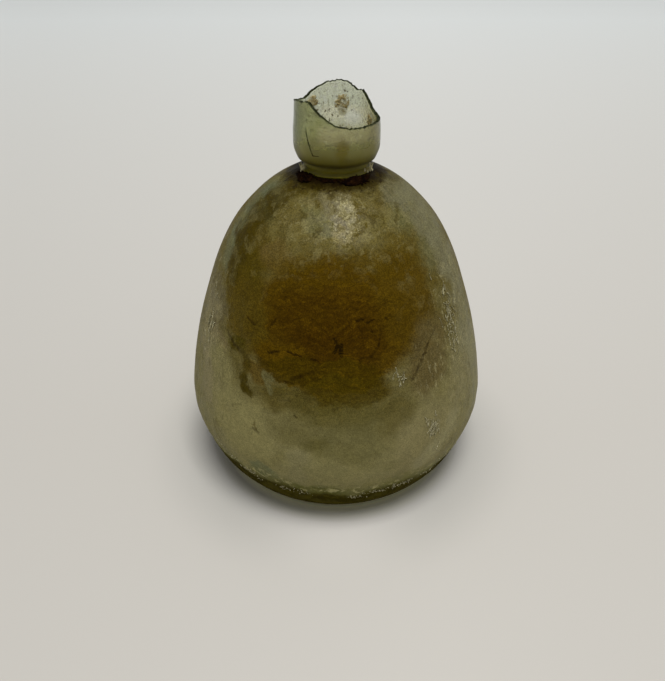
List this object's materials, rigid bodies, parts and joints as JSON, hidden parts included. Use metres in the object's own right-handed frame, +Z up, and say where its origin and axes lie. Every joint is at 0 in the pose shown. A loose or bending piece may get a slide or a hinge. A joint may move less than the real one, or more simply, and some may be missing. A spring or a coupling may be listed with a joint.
{
  "type": "flask",
  "caption": "Old blown glass flask with a bell-shaped body, a pushed-in base, a short collared neck and a cup mouth with a broken rim.",
  "frame": {"origin": "centre of the circle that the flask rests on, at the height of the resting ring", "axes": "+Z up along the axis of the body and neck, -Y the front as pictured, +X to the right of it"},
  "size_m": [0.09, 0.09, 0.1126],
  "materials": {
    "body_glass": "weathered, brown and olive, satin",
    "mouth_glass": "pale green, thin, slightly dulled",
    "adhesive": "dark reddish black, dull",
    "chip": "pale, sharp, dusty",
    "lime": "whitish, chalky, rough",
    "soil": "brown, dry, rough"
  },
  "bodies": {
    "root": {"base_floor": "body_glass", "body_wall": "body_glass", "shoulder": "body_glass", "neck_collar": "mouth_glass", "mouth_cup": "mouth_glass", "mend_seam": "adhesive", "residue_left": "adhesive", "residue_middle": "adhesive", "residue_right": "adhesive", "chip_left": "chip", "chip_right": "chip", "crust_front": "lime", "crust_front_left": "lime", "crust_left": "lime", "crust_right": "lime", "flake_low": "lime", "flake_middle": "lime", "flake_high": "lime", "flake_left": "lime", "soil_front": "soil", "soil_shoulder": "soil", "cup_residue_middle": "soil", "cup_residue_left": "soil", "cup_residue_right": "soil"}
  },
  "joints": []
}
